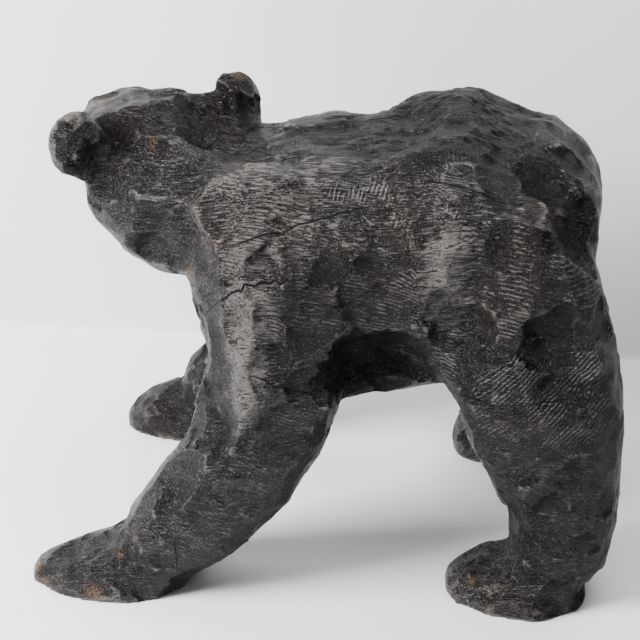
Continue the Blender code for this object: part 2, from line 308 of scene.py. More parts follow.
def gouge_tree() -> bpy.types.GeometryNodeTree:
    """Gouge strokes cut one after another all over a skin, each a shallow scoop along its way.

    Every round spreads strokes that stay clear of each other, and cuts them through what the
    rounds before have left, so the scoops overlap and meet in crisp ridges.

    Returns:
        The tree, with the strokes' sizes as its inputs.
    """
    graph, given = skin_group("Gouge marks", {
        "Rounds": 5, "Spacing": 0.02, "Nose Radius": 0.03, "Sweep Radius": 0.1, "Depth": 0.001,
        "Pitch": RIPPLE_PITCH, "Tilt": 0.1, "Wander": 0.3, "Seed": 1, "Round Step": 31.0,
        "Even Passes": 12, "Crowding": 4.0, "Shallowest": 0.4, "Deepest": 1.3, "Floor": -2.0,
        "Phase Spread": 7.0, "Shaving": 0.00004, "Askew": 0.3, "Square": 0.7})
    start = graph.add("GeometryNodeRepeatInput", {"Iterations": given["Rounds"]})
    end = graph.add("GeometryNodeRepeatOutput")
    start.pair_with_output(end)
    seed = graph.plus(given["Seed"], graph.times(start.outputs["Iteration"], given["Round Step"]))

    def chance(low: Value, high: Value, step: float) -> Socket:
        """A number of each stroke's own, from low to high, told from its others by a step."""
        return graph.add("FunctionNodeRandomValue", {2: low, 3: high, 8: graph.plus(seed, step)}).outputs[1]

    skin = graph.stored(given["Geometry"], Attribute.FIRST, graph.place())
    even = graph.take("GeometryNodeBlurAttribute", {
        "Value": graph.take("GeometryNodeInputNormal"), "Iterations": given["Even Passes"]},
        data_type=Attribute.OUT.kind)
    skin = graph.stored(skin, Attribute.OUT, graph.vector("NORMALIZE", even))
    graph.feed(start.inputs["Geometry"], skin)
    skin = start.outputs["Geometry"]

    # Each stroke's frame, way and depth, worked out on the points where the strokes are.
    plot = graph.times(given["Spacing"], given["Spacing"])
    strokes = graph.add("GeometryNodeDistributePointsOnFaces", {
        "Mesh": skin, "Distance Min": given["Spacing"], "Seed": seed,
        "Density Max": graph.math("DIVIDE", given["Crowding"], plot)},
        distribute_method="POISSON").outputs["Points"]
    out = graph.vector("NORMALIZE", graph.named(Attribute.OUT))
    way = graph.named(Attribute.WAY)
    level = graph.vector("NORMALIZE", graph.vector(
        "SUBTRACT", way, graph.scaled(out, graph.vector("DOT_PRODUCT", way, out))))
    run = graph.take("ShaderNodeVectorRotate", {
        "Vector": level, "Axis": out, "Angle": graph.times(given["Wander"], chance(-1.0, 1.0, 1.0))})
    lean = graph.scaled(run, graph.times(given["Tilt"], chance(-1.0, 1.0, 2.0)))
    side_lean = graph.scaled(graph.vector("CROSS_PRODUCT", out, run),
                             graph.times(given["Tilt"], chance(-1.0, 1.0, 3.0)))
    axis = graph.vector("NORMALIZE", graph.vector("ADD", out, graph.vector("ADD", lean, side_lean)))
    depth = graph.times(chance(given["Shallowest"], given["Deepest"], 4.0),
                        graph.times(given["Depth"], graph.named(Attribute.SCOOP)))
    nearest = graph.take("GeometryNodeSampleNearest", {"Geometry": strokes}, domain="POINT")

    def from_stroke(value: Socket, kind: str = "FLOAT") -> Socket:
        """A value of the nearest stroke, on the skin."""
        return graph.take("GeometryNodeSampleIndex", {"Geometry": strokes, "Value": value, "Index": nearest},
                         data_type=kind)

    offset = graph.vector("SUBTRACT", graph.place(),
                          from_stroke(graph.named(Attribute.FIRST), "FLOAT_VECTOR"))
    axis, run = from_stroke(axis, "FLOAT_VECTOR"), from_stroke(run, "FLOAT_VECTOR")
    depth, own = from_stroke(depth), from_stroke(chance(0.0, 1.0, 5.0))
    height = graph.vector("DOT_PRODUCT", offset, axis)
    along = graph.vector("DOT_PRODUCT", offset, run)
    across = graph.vector("DOT_PRODUCT", offset, graph.vector("CROSS_PRODUCT", axis, run))
    bowl = graph.plus(graph.bend(across, given["Nose Radius"]), graph.bend(along, given["Sweep Radius"]))
    press = graph.math("MINIMUM", graph.less(graph.less(bowl, depth), height), 0.0)
    press = graph.math("MAXIMUM", press, graph.times(depth, given["Floor"]))
    out = graph.named(Attribute.OUT)
    facing = graph.ramp(graph.vector("DOT_PRODUCT", axis, out), given["Askew"], given["Square"])
    press = graph.times(press, facing)
    skin = graph.take("GeometryNodeSetPosition", {"Geometry": skin, "Offset": graph.scaled(axis, press)})

    # Each stroke's ripples start apart from the others', where it has cut at least a shaving.
    phase = graph.plus(graph.math("DIVIDE", along, given["Pitch"]), graph.times(own, given["Phase Spread"]))
    shaved = graph.take("FunctionNodeCompare", {0: graph.times(press, -1.0), 1: given["Shaving"]},
                       data_type="FLOAT", operation="GREATER_THAN")
    for attribute, value in ((Attribute.PHASE, phase), (Attribute.SHADE, own)):
        skin = graph.stored(skin, attribute, value, chosen=shaved)
    graph.feed(end.inputs["Geometry"], skin)
    return graph.end_skin(end.outputs["Geometry"], given["Finish"])


def sawn_tree() -> bpy.types.GeometryNodeTree:
    """The rough-sawn face: torn fibres along the timber, and pits.

    Returns:
        The tree, with the tears' sizes as its inputs.
    """
    graph, given = skin_group("Rough-sawn face", {
        "Tear Depth": 0.003, "Tear Scale": 60.0, "Stretch": 0.35, "Pit Depth": 0.003, "Pit Scale": 70.0,
        "Waviness": 0.0006, "Wave Scale": 45.0})
    here = graph.place()
    stretched = graph.squeezed(here, given["Stretch"])
    tears = graph.ramp(graph.noise(stretched, given["Tear Scale"], 3.0, 0.6), 0.35, 0.75)
    pits = graph.take("ShaderNodeTexVoronoi", {"Vector": stretched, "Scale": given["Pit Scale"]})
    pitted = graph.times(graph.less(1.0, graph.ramp(pits, 0.05, 0.35)), given["Pit Depth"])
    torn = graph.times(tears, given["Tear Depth"])
    down = graph.times(graph.plus(torn, pitted), graph.named(Attribute.SAWN))
    down = graph.plus(down, graph.times(graph.noise(here, given["Wave Scale"]), given["Waviness"]))
    offset = graph.scaled(graph.take("GeometryNodeInputNormal"), graph.times(down, -1.0))
    moved = graph.take("GeometryNodeSetPosition", {"Geometry": given["Geometry"], "Offset": offset})
    return graph.end_skin(moved, given["Finish"])


def edge_tree() -> bpy.types.GeometryNodeTree:
    """How proud the wood stands of what is round it, kept on the skin for the finish.

    Returns:
        The tree, with how far round it looks as its input.
    """
    graph, given = skin_group("Proud edges", {"Passes": 6})
    here = graph.place()
    round_it = graph.take("GeometryNodeBlurAttribute", {"Value": here, "Iterations": given["Passes"]},
                         data_type="FLOAT_VECTOR")
    proud = graph.vector("DOT_PRODUCT", graph.vector("SUBTRACT", here, round_it),
                         graph.take("GeometryNodeInputNormal"))
    return graph.end_skin(graph.stored(given["Geometry"], Attribute.PROUD, proud), given["Finish"])


def use_tree(piece: bpy.types.Object, tree: bpy.types.GeometryNodeTree, values: Mapping[str, object]) -> None:
    """Put a geometry tree on a piece with its own values.

    Args:
        piece: The piece.
        tree: The tree.
        values: The value of each named input.
    """
    modifier = piece.modifiers.new(tree.name, "NODES")
    modifier.node_group = tree
    sockets = {item.name: item.identifier for item in tree.interface.items_tree if item.in_out == "INPUT"}
    for name, value in values.items():
        modifier[sockets[name]] = value


def baked(piece: bpy.types.Object) -> bpy.types.Mesh:
    """A new plain mesh of a piece, with all its modifiers applied."""
    depsgraph = bpy.context.evaluated_depsgraph_get()
    return bpy.data.meshes.new_from_object(piece.evaluated_get(depsgraph), preserve_all_data_layers=True,
                                           depsgraph=depsgraph)


# --------------------------------------------------------------------------- finish


def ripple_group() -> bpy.types.ShaderNodeTree:
    """The ripples that a saw chain leaves across each stroke, with crisp crests.

    Returns:
        The group. Its output is a height from 0 to 1.
    """
    graph, given = effect_group("Chain ripples", {
        "Phase": 0.0, "Clear": 1.0, "Shade": 0.0, "Height": 0.0, "Shake": 0.9, "Shake Scale": 110.0,
        "Patch Scale": 30.0}, "Ripple")
    place = graph.place()
    shake = graph.times(graph.noise(place, given["Shake Scale"]), given["Shake"])
    phase = graph.plus(given["Phase"], shake)
    crest = graph.less(1.0, graph.math("ABSOLUTE", graph.math("SINE", graph.times(phase, math.pi))))
    patch = graph.ramp(graph.noise(place, given["Patch Scale"], 1.0), 0.32, 0.48)
    lively = graph.times(patch, graph.ramp(given["Shade"], 0.0, 0.4))
    height = graph.times(given["Height"], given["Clear"])
    return graph.end(Ripple=graph.times(graph.times(crest, lively), height))


def timber_group() -> bpy.types.ShaderNodeTree:
    """The timber's own fibres, which run lengthwise through the whole bear.

    Returns:
        The group. Its outputs are open lines, fine fibres, coarse ones and small pores, each
        from 0 to 1.
    """
    graph, given = effect_group("Timber fibres", {
        "Length": 0.055, "Line Scale": 230.0, "Fine Scale": 820.0, "Coarse Scale": 110.0,
        "Pore Scale": 600.0, "Sweep": 0.045, "Sweep Scale": 7.0}, "Lines", "Fine", "Coarse", "Pores")
    place = graph.place()
    swept = graph.add("ShaderNodeTexNoise", {
        "Vector": place, "Scale": given["Sweep Scale"], "Detail": 1.0}).outputs["Color"]
    bent = graph.vector("ADD", place, graph.scaled(
        graph.vector("SUBTRACT", swept, (0.5, 0.5, 0.5)), given["Sweep"]))
    fibres = graph.squeezed(bent, given["Length"])
    line = graph.math("ABSOLUTE", graph.less(graph.noise(fibres, given["Line Scale"], 1.5), 0.5))
    return graph.end(
        Lines=graph.less(1.0, graph.ramp(line, 0.003, 0.028)),
        Fine=graph.ramp(graph.noise(fibres, given["Fine Scale"], 3.0, 0.65), 0.40, 0.60),
        Coarse=graph.ramp(graph.noise(fibres, given["Coarse Scale"], 2.0, 0.6), 0.36, 0.64),
        Pores=graph.ramp(graph.noise(place, given["Pore Scale"], 3.0, 0.7), 0.38, 0.62))


def crack_group() -> bpy.types.ShaderNodeTree:
    """A drying crack, from how far each point is to its side.

    Returns:
        The group. Its output is 1 in the crack and 0 away from it.
    """
    graph, given = effect_group("Drying crack", {
        "Side": 0.0, "Near": 0.0, "Wander": 0.0016, "Wander Scale": 160.0, "Core": 0.00035,
        "Width": HAIR_CRACK}, "Mask")
    shake = graph.less(graph.noise(graph.place(), given["Wander Scale"], 3.0), 0.5)
    away = graph.math("ABSOLUTE", graph.plus(given["Side"], graph.times(shake, given["Wander"])))
    mask = graph.less(1.0, graph.ramp(away, given["Core"], given["Width"]))
    return graph.end(Mask=graph.math("MULTIPLY", mask, given["Near"], clamp=True))


def wear_group() -> bpy.types.ShaderNodeTree:
    """Wear on proud edges, broken up into small spots.

    Returns:
        The group. Its outputs are masks of bare spots, of proud edges, which the finish paints with light
        lines, partly edge wear and partly painted highlight, and of hollows.
    """
    graph, given = effect_group("Edge wear and edge highlights", {
        "Proud": 0.0, "Edge": 0.0006, "Spot Scale": 300.0, "Patch Scale": 22.0}, "Worn", "Edges", "Hollow")
    place, proud, edge = graph.place(), given["Proud"], given["Edge"]
    edges = graph.ramp(proud, graph.times(edge, 1.2), graph.times(edge, 2.8))
    spots = graph.ramp(graph.noise(place, given["Spot Scale"], 3.0, 0.65), 0.60, 0.68)
    patches = graph.ramp(graph.noise(place, given["Patch Scale"]), 0.48, 0.62)
    return graph.end(Worn=graph.times(graph.times(edges, spots), patches), Edges=edges,
                     Hollow=graph.ramp(proud, 0.0, graph.times(edge, -1.0)))


def new_finish(name: str) -> tuple[bpy.types.Material, Graph, bpy.types.Node]:
    """A new material.

    Args:
        name: Its name.

    Returns:
        The material, its graph and its shader.
    """
    material = bpy.data.materials.new(name)
    material.use_nodes = True
    return material, Graph(material.node_tree), material.node_tree.nodes["Principled BSDF"]


@dataclass(frozen=True)
class StainedWood:
    """Timber stained near black and waxed, worn to brown on its edges, and with light painted on: painted
    sheen in bands where the facets and the ripple crests catch the light, light lines on proud edges that are
    partly wear and partly painted highlight, and painted glints in small flecks.

    The shares say how much each mark of the timber and the tool counts, in the stain's tone, in its painted
    sheen, in its roughness and in the relief.
    """

    name: str = "stained_wood"
    stain: Colour = (0.0022, 0.0020, 0.0020, 1.0)
    stain_light: Colour = (0.010, 0.0090, 0.0087, 1.0)
    reddish: Colour = (0.014, 0.0085, 0.0065, 1.0)
    # Painted sheen: a light grey put into the colour in place of the glossy reflections on facets and
    # chain-ripple crests that catch the light.
    painted_sheen: Colour = (0.132, 0.122, 0.117, 1.0)
    # Light lines on proud edges: partly edge wear, partly painted highlight where the ridges catch the light.
    edge: Colour = (0.150, 0.138, 0.130, 1.0)
    worn: Colour = (0.26, 0.145, 0.065, 1.0)
    crack: Colour = (0.0015, 0.0015, 0.0015, 1.0)
    gloss: float = 0.20
    dull: float = 0.48
    sheen: float = 0.16
    relief: float = 0.0024
    cloud_scale: float = 24.0
    red_scale: float = 11.0
    speck_scale: float = 640.0
    tone_step: Step = (0.30, 0.75)
    red_step: Step = (0.50, 0.66)
    sheen_streak_step: Step = (0.64, 1.26)
    speck_step: Step = (0.57, 0.67)
    bare_step: Step = (0.35, 0.80)
    patch_step: Step = (0.35, 0.65)
    # How the painted sheen share changes with each stroke's own shade, so that every facet is painted a
    # brightness of its own.
    sheen_by_stroke_shade: Step = (0.8, 0.6)
    broken_by_fine: Step = (0.6, 0.3)
    grit: float = 0.32
    sawn_grit: float = 0.8
    red_share: float = 0.35
    line_share: float = 0.9
    tone: Shares = (("Cloud", 0.40), ("Fine", 0.30), ("Coarse", 0.15), ("Pores", 0.15))
    # How much each mark brings to the painted sheen; the ripple crests and the zones' sheen share bring most,
    # as painted highlights.
    sheen_streak: Shares = (("Fine", 0.38), ("Pores", 0.10), ("Coarse", 0.12), ("Cloud", 0.16), ("Ripple", 0.60),
                      ("Sheen Share", 0.42))
    rough: Shares = (("Patches", 0.45), ("Pores", 0.25), ("Sawn", 0.35), ("Lines", 0.40), ("Hollow", 0.15))
    height: Shares = (("Ripple", 0.95), ("Fine", 0.42), ("Coarse", 0.45), ("Grit", 1.0), ("Lines", -0.75),
                      ("Crack", -2.5))

    def material(self) -> bpy.types.Material:
        """The finish of the whole bear.

        Returns:
            The material.
        """
        material, graph, shader = new_finish(self.name)
        marks = self.marks(graph)
        graph.feed(shader.inputs["Base Color"], self.colour(graph, marks))
        shader.inputs["Specular IOR Level"].default_value = self.sheen
        rough = graph.times(graph.total(self.rough, marks), self.dull - self.gloss)
        graph.feed(shader.inputs["Roughness"], graph.plus(self.gloss, rough))
        graph.feed(shader.inputs["Normal"], graph.take("ShaderNodeBump", {
            "Height": graph.total(self.height, marks), "Strength": 1.0, "Distance": self.relief}))
        return material

    def marks(self, graph: Graph) -> dict[str, Socket]:
        """Every mark of the timber, the tool and the years that the finish is made from.

        Args:
            graph: The graph of the material.

        Returns:
            The marks by name, from 0 to 1.
        """
        sawn, shade = graph.read(Attribute.SAWN), graph.read(Attribute.SHADE)
        marks = {"Sawn": sawn, "Cloud": graph.noise(graph.place(), self.cloud_scale, 4.0, 0.6)}
        for group, inputs in (
                (ripple_group(), {"Phase": graph.read(Attribute.PHASE), "Clear": graph.read(Attribute.CLEAR),
                                  "Shade": shade, "Height": graph.read(Attribute.RIPPLE)}),
                (timber_group(), {}),
                (wear_group(), {"Proud": graph.read(Attribute.PROUD)}),
                (crack_group(), {"Side": graph.read(Attribute.CRACK_SIDE),
                                 "Near": graph.read(Attribute.CRACK_NEAR)})):
            marks.update({output.name: output for output in graph.group(group, inputs)})
        marks["Crack"] = marks.pop("Mask")
        marks["Patches"] = graph.ramp(marks["Cloud"], *self.patch_step)
        # Painted sheen share: the zones' share, varied stroke by stroke so that each facet gets its own
        # painted brightness.
        sheen_by_stroke = graph.math("MULTIPLY_ADD", shade, *self.sheen_by_stroke_shade)
        marks["Sheen Share"] = graph.times(graph.read(Attribute.SHEEN_SHARE), sheen_by_stroke)
        marks["Grit"] = graph.times(marks["Pores"], graph.plus(self.grit, graph.times(sawn, self.sawn_grit)))
        return marks

    def colour(self, graph: Graph, marks: Mapping[str, Socket]) -> Socket:
        """The stain, and over it the painted sheen, the light edge lines (partly wear, partly painted
        highlight), the painted glints, the wear and the splits.

        Args:
            graph: The graph of the material.
            marks: The marks by name.

        Returns:
            The colour.
        """
        place = graph.place()
        broken = graph.math("MULTIPLY_ADD", marks["Fine"], *self.broken_by_fine)
        red = graph.ramp(graph.noise(place, self.red_scale, 3.0), *self.red_step)
        # Flecks of painted glint, in the painted sheen colour.
        painted_glints = graph.ramp(graph.noise(place, self.speck_scale, 2.0, 0.6), *self.speck_step)
        bare = graph.times(graph.read(Attribute.WORN), graph.ramp(marks["Pores"], *self.bare_step))
        tone = graph.ramp(graph.total(self.tone, marks), *self.tone_step)
        colour = graph.mixed(tone, self.stain, self.stain_light)
        for factor, over in (
                (graph.times(red, self.red_share), self.reddish),
                # Painted sheen over the stain, in bands along the fibres and on the ripple crests.
                (graph.ramp(graph.total(self.sheen_streak, marks), *self.sheen_streak_step), self.painted_sheen),
                # Light edge lines: partly wear, partly painted highlight.
                (graph.times(marks["Edges"], broken), self.edge),
                # Painted glints in small flecks.
                (graph.times(painted_glints, broken), self.painted_sheen),
                (graph.times(marks["Lines"], self.line_share), self.crack),
                (graph.math("MAXIMUM", marks["Worn"], bare, clamp=True), self.worn),
                (marks["Crack"], self.crack)):
            colour = graph.mixed(factor, colour, over)
        return colour


# --------------------------------------------------------------------------- the carver's plan


@dataclass(frozen=True)
class Zone:
    """A stretch of the bear that is worked one way.

    The way is the run of the gouge strokes. Scoop, ripple, sheen share and sawn are how deep the gouges go,
    how high the chain's ripples stand, how much painted sheen the stain is given in place of how brightly the
    facets there catch the light, and how rough-sawn the wood is, from 0 to 1, and for the brightest facets to
    over 2.
    """

    name: str
    centre: Point
    reach: Point
    way: Point
    scoop: float
    ripple: float
    sheen_share: float
    sawn: float = 0.0
    both_sides: bool = True


@dataclass(frozen=True)
class Pass:
    """One pass of a round-nosed tool along the skin.

    The path runs over the places nearest its points. Radius is the tool's, and depth is how far
    it goes in at the start and at the end. The tool is held square to the skin unless the pass
    has a facing of its own.
    """

    path: tuple[Point, ...]
    radius: float
    depth: tuple[float, float]
    facing: Point | None = None


@dataclass(frozen=True)
class Row:
    """Like passes side by side, from places along a line, each as long and turned the same."""

    line: tuple[Point, ...]
    count: int
    stroke: Point
    radius: float
    depth: tuple[float, float]

    def passes(self) -> list[Pass]:
        """The passes side by side.

        Returns:
            Them, first to last.
        """
        line = np.array(self.line)
        done = np.concatenate([[0.0], np.cumsum(np.linalg.norm(np.diff(line, axis=0), axis=1))])
        found = []
        for share in np.linspace(0.0, 1.0, self.count):
            start = np.array([np.interp(share * done[-1], done, line[:, axis]) for axis in range(3)])
            found.append(Pass((tuple(start), tuple(start + np.array(self.stroke))), self.radius, self.depth))
        return found


@dataclass(frozen=True)
class Gouging:
    """One going over of the whole skin with a gouge of one nose and one sweep."""

    rounds: int
    spacing: float
    nose: float
    sweep: float
    depth: float
    tilt: float
    wander: float
    seed: int

    def values(self, finish: bpy.types.Material) -> dict[str, object]:
        """What the gouge tree is given for it."""
        return {"Rounds": self.rounds, "Spacing": self.spacing, "Nose Radius": self.nose,
                "Sweep Radius": self.sweep, "Depth": self.depth, "Pitch": RIPPLE_PITCH, "Tilt": self.tilt,
                "Wander": self.wander, "Seed": self.seed, "Finish": finish}


@dataclass(frozen=True)
class Crack:
    """A drying crack over the skin, by the places it runs through and its width."""

    path: tuple[Point, ...]
    width: float = HAIR_CRACK


@dataclass(frozen=True)
class Spot:
    """A place where the stain has worn off in flecks."""

    place: Point
    size: float
    strength: float = 1.0


@dataclass(frozen=True)
class HeadPlace:
    """Where the head sits, so that its cuts can be given in its own frame: +X to the nose."""

    pivot: Point = (0.1826, -0.0043, 0.455)
    turn: float = -50.0
    drop: float = 10.0
    tilt: float = -1.0

    def passes(self, cuts: Sequence[Pass]) -> list[Pass]:
        """Cuts on both sides of the head, moved from its frame onto the bear.

        Args:
            cuts: The cuts on the head's left side, in its frame.

        Returns:
            Those cuts and their mirror images, in the bear's frame.
        """
        angles = [math.radians(angle) for angle in (self.tilt, self.drop, self.turn)]
        carried = Matrix.Translation(self.pivot) @ Euler(angles, "XYZ").to_matrix().to_4x4()
        return [Pass(tuple(tuple(carried @ Vector((x, side * y, z))) for x, y, z in cut.path),
                     cut.radius, cut.depth)
                for cut in cuts for side in (1.0, -1.0)]


# How the wood is worked away from every zone.
PLAIN = Zone("rest", (0.0, 0.0, 0.0), (1.0, 1.0, 1.0), (0.3, 0.0, -0.6), 0.7, 0.2, 0.3, 0.1)

# The third number after each zone's way is its painted sheen share, highest on the facets that catch the most
# light and nought on the chest and the waist.
ZONES = (
    Zone("back", (-0.05, 0.0, 0.52), (0.26, 0.075, 0.03), (1.0, 0.1, 0.0), 0.3, 0.1, 0.35, 1.0, False),
    Zone("shoulder", (0.06, 0.12, 0.44), (0.085, 0.06, 0.055), (0.15, 0.3, -1.0), 0.55, 0.9, 1.2),
    Zone("flank band", (-0.05, 0.13, 0.458), (0.09, 0.05, 0.018), (1.0, 0.0, 0.25), 0.5, 1.0, 0.7),
    Zone("flank", (-0.03, 0.165, 0.35), (0.08, 0.06, 0.08), (0.25, 0.0, -0.95), 0.9, 0.9, 0.35),
    Zone("waist", (-0.07, 0.14, 0.27), (0.06, 0.07, 0.06), (0.2, 0.0, -1.0), 1.0, 0.6, 0.0),
    Zone("upper foreleg", (0.066, 0.17, 0.33), (0.02, 0.06, 0.07), (0.0, 0.1, -1.0), 0.6, 1.0, 2.3),
    Zone("chest", (0.12, 0.11, 0.3), (0.03, 0.06, 0.09), (0.4, 0.0, -0.9), 0.5, 0.4, 0.0),
    Zone("back of the foreleg", (0.005, 0.165, 0.27), (0.035, 0.06, 0.08), (0.3, 0.0, -1.0), 0.8, 0.7, 0.15),
    Zone("lower foreleg", (0.13, 0.16, 0.13), (0.08, 0.08, 0.08), (0.6, 0.0, -0.8), 0.9, 0.5, 0.45),
    Zone("forefoot", (0.24, 0.145, 0.03), (0.08, 0.07, 0.05), (1.0, 0.0, -0.2), 0.5, 0.25, 0.4),
    Zone("thigh's front", (-0.125, 0.15, 0.385), (0.02, 0.06, 0.06), (0.1, 0.0, -1.0), 0.8, 1.0, 2.4),
    Zone("hip", (-0.17, 0.15, 0.4), (0.045, 0.06, 0.08), (0.15, 0.0, -1.0), 0.9, 1.0, 0.35),
    Zone("side of the rump", (-0.235, 0.12, 0.4), (0.045, 0.06, 0.07), (0.05, 0.0, -1.0), 0.8, 1.0, 0.25),
    Zone("rear thigh", (-0.24, 0.15, 0.3), (0.07, 0.08, 0.07), (0.77, 0.0, 0.64), 0.7, 1.0, 0.3),
    Zone("rump", (-0.26, 0.03, 0.43), (0.05, 0.07, 0.07), (0.1, 0.0, -1.0), 0.6, 0.8, 0.25),
    Zone("hind leg", (-0.24, 0.12, 0.14), (0.07, 0.08, 0.09), (0.1, 0.0, -1.0), 0.8, 0.35, 0.35),
    Zone("hind foot", (-0.2, 0.12, 0.02), (0.08, 0.07, 0.04), (1.0, 0.0, -0.3), 0.6, 0.2, 0.7),
    Zone("head", (0.19, -0.01, 0.47), (0.09, 0.11, 0.06), (0.3, 1.0, -0.2), 0.9, 0.5, 0.42, 0.1, False),
    Zone("neck", (0.19, 0.03, 0.37), (0.08, 0.09, 0.06), (0.5, -0.2, -0.9), 0.45, 0.5, 0.38, 0.1, False),
    Zone("belly", (-0.03, 0.0, 0.21), (0.12, 0.12, 0.03), (1.0, 0.0, 0.0), 0.5, 0.3, 0.2, 0.2, False),
)

# Under the ledge of the flank on each side, down each thigh, by the tail, and over the left ear and cheek.
ROWS = (
    Row(((0.05, 0.155, 0.4), (0.005, 0.15, 0.42), (-0.025, 0.135, 0.44), (-0.075, 0.12, 0.46),
         (-0.105, 0.115, 0.47)), 6, (-0.008, 0.018, -0.08), 0.019, (0.009, 0.001)),
    Row(((0.03, -0.15, 0.42), (-0.11, -0.13, 0.46)), 6, (-0.006, -0.02, -0.08), 0.017, (0.004, 0.0006)),
    Row(((-0.15, 0.145, 0.45), (-0.215, 0.13, 0.435)), 3, (-0.005, 0.01, -0.11), 0.03, (0.002, 0.0025)),
    Row(((-0.15, -0.15, 0.44), (-0.215, -0.14, 0.43)), 3, (-0.005, -0.01, -0.11), 0.03, (0.002, 0.0025)),
    Row(((-0.2, 0.025, 0.485), (-0.23, 0.015, 0.47)), 3, (-0.012, 0.035, -0.024), 0.007, (0.0045, 0.003)),
    Row(((0.254, 0.072, 0.502), (0.262, 0.078, 0.496)), 2, (-0.004, 0.01, -0.036), 0.01, (0.0024, 0.0022)),
    Row(((0.216, 0.042, 0.49), (0.178, 0.052, 0.486)), 3, (0.008, 0.028, -0.028), 0.016, (0.0032, 0.0026)),
)

PASSES = (
    # Facets down the foreleg, with an edge between each two.
    Pass(((0.066, 0.16, 0.392), (0.064, 0.17, 0.34), (0.064, 0.18, 0.288)), 0.09, (0.005, 0.005),
         (0.42, 0.87, 0.25)),
    Pass(((0.034, 0.162, 0.375), (0.036, 0.174, 0.288)), 0.05, (0.0025, 0.0025), (0.02, 1.0, 0.08)),
    Pass(((0.012, 0.16, 0.372), (0.012, 0.171, 0.28)), 0.08, (0.003, 0.003), (-0.36, 0.93, -0.05)),
    # The shoulder's plane, down to the ledge over the flank.
    Pass(((0.055, 0.142, 0.425), (0.01, 0.13, 0.445), (-0.02, 0.115, 0.458), (-0.075, 0.098, 0.476)), 0.1,
         (0.0045, 0.0035), (0.05, 0.66, 0.75)),
    Pass(((0.095, 0.125, 0.43), (0.05, 0.11, 0.458)), 0.12, (0.004, 0.004), (0.15, 0.68, 0.72)),
    # Round scoop on the shoulder, the thigh's front, and the brown facet on the hip.
    Pass(((0.052, 0.155, 0.42), (0.048, 0.157, 0.408)), 0.016, (0.0035, 0.0035)),
    Pass(((-0.05, 0.157, 0.375), (-0.065, 0.157, 0.34), (-0.07, 0.15, 0.29)), 0.08, (0.012, 0.013)),
    Pass(((-0.188, 0.14, 0.452), (-0.192, 0.155, 0.4)), 0.06, (0.003, 0.003)),
    # Edge between the top of the back and the side.
    Pass(((0.09, 0.06, 0.48), (0.01, 0.09, 0.47), (-0.09, 0.098, 0.488)), 0.012, (0.001, 0.0025)),
    # Head: its back plane under the crown's crest, and the pit beside the nape's ridge.
    Pass(((0.24, 0.03, 0.497), (0.185, 0.012, 0.5)), 0.09, (0.004, 0.004), (-0.25, 0.7, 0.66)),
    Pass(((0.166, 0.0, 0.503), (0.168, 0.04, 0.492)), 0.025, (0.005, 0.004)),
    Pass(((0.185, 0.03, 0.5), (0.182, 0.055, 0.48)), 0.02, (0.003, 0.002)),
    # Band over the back of the left ear.
    Pass(((0.262, 0.06, 0.512), (0.256, 0.078, 0.49), (0.258, 0.085, 0.462)), 0.012, (0.002, 0.002)),
    # Undercut between the cheek and the neck, and the shelf below it.
    Pass(((0.242, 0.072, 0.458), (0.221, 0.072, 0.462), (0.177, 0.07, 0.464)), 0.008, (0.004, 0.003)),
    Pass(((0.205, 0.08, 0.448), (0.16, 0.088, 0.452)), 0.012, (0.003, 0.003)),
    # Ankles.
    Pass(((-0.196, 0.105, 0.098), (-0.205, 0.16, 0.105), (-0.23, 0.172, 0.1)), 0.01, (0.0045, 0.001)),
    Pass(((-0.19, -0.11, 0.098), (-0.2, -0.17, 0.105)), 0.01, (0.004, 0.001)),
)

# The face, in the head's own frame, left side: eye, nostril, the edge of the nose and the mouth.
FACE = (
    Pass(((0.084, 0.042, 0.014), (0.09, 0.039, 0.013)), 0.007, (0.004, 0.004)),
    Pass(((0.16, 0.011, -0.02), (0.16, 0.014, -0.024)), 0.005, (0.0035, 0.0035)),
    Pass(((0.146, 0.0, 0.004), (0.148, 0.026, -0.01)), 0.006, (0.002, 0.0025)),
    Pass(((0.165, 0.0, -0.046), (0.148, 0.03, -0.042), (0.105, 0.043, -0.034)), 0.0045, (0.003, 0.003)),
)

CRACKS = (
    Crack(((0.085, 0.15, 0.42), (0.035, 0.14, 0.44), (-0.05, 0.12, 0.462))),
    Crack(((0.115, 0.13, 0.33), (0.095, 0.15, 0.36), (0.07, 0.163, 0.385), (-0.015, 0.155, 0.395)), 0.0014),
    Crack(((0.06, 0.178, 0.292), (0.015, 0.175, 0.275), (-0.015, 0.163, 0.271))),
    Crack(((0.05, 0.18, 0.207), (0.005, 0.176, 0.22), (-0.03, 0.16, 0.243))),
    Crack(((-0.09, 0.106, 0.484), (-0.17, 0.118, 0.468), (-0.222, 0.1, 0.447), (-0.275, 0.03, 0.392))),
    Crack(((-0.135, 0.15, 0.27), (-0.2, 0.178, 0.275), (-0.25, 0.168, 0.281)), 0.0013),
    Crack(((0.145, 0.189, 0.04), (0.145, 0.194, 0.093), (0.12, 0.194, 0.121))),
    Crack(((0.125, 0.02, 0.474), (0.117, 0.01, 0.474), (0.115, 0.0, 0.474)), 0.0016),
    Crack(((0.06, -0.16, 0.4), (0.0, -0.155, 0.412), (-0.06, -0.145, 0.41))),
    Crack(((-0.14, -0.16, 0.3), (-0.2, -0.185, 0.305), (-0.25, -0.18, 0.3)), 0.0013),
    Crack(((0.1, 0.04, 0.476), (0.0, 0.055, 0.48), (-0.08, 0.06, 0.492))),
    Crack(((0.02, -0.02, 0.48), (-0.1, -0.025, 0.505), (-0.2, -0.02, 0.51)), 0.0013),
)

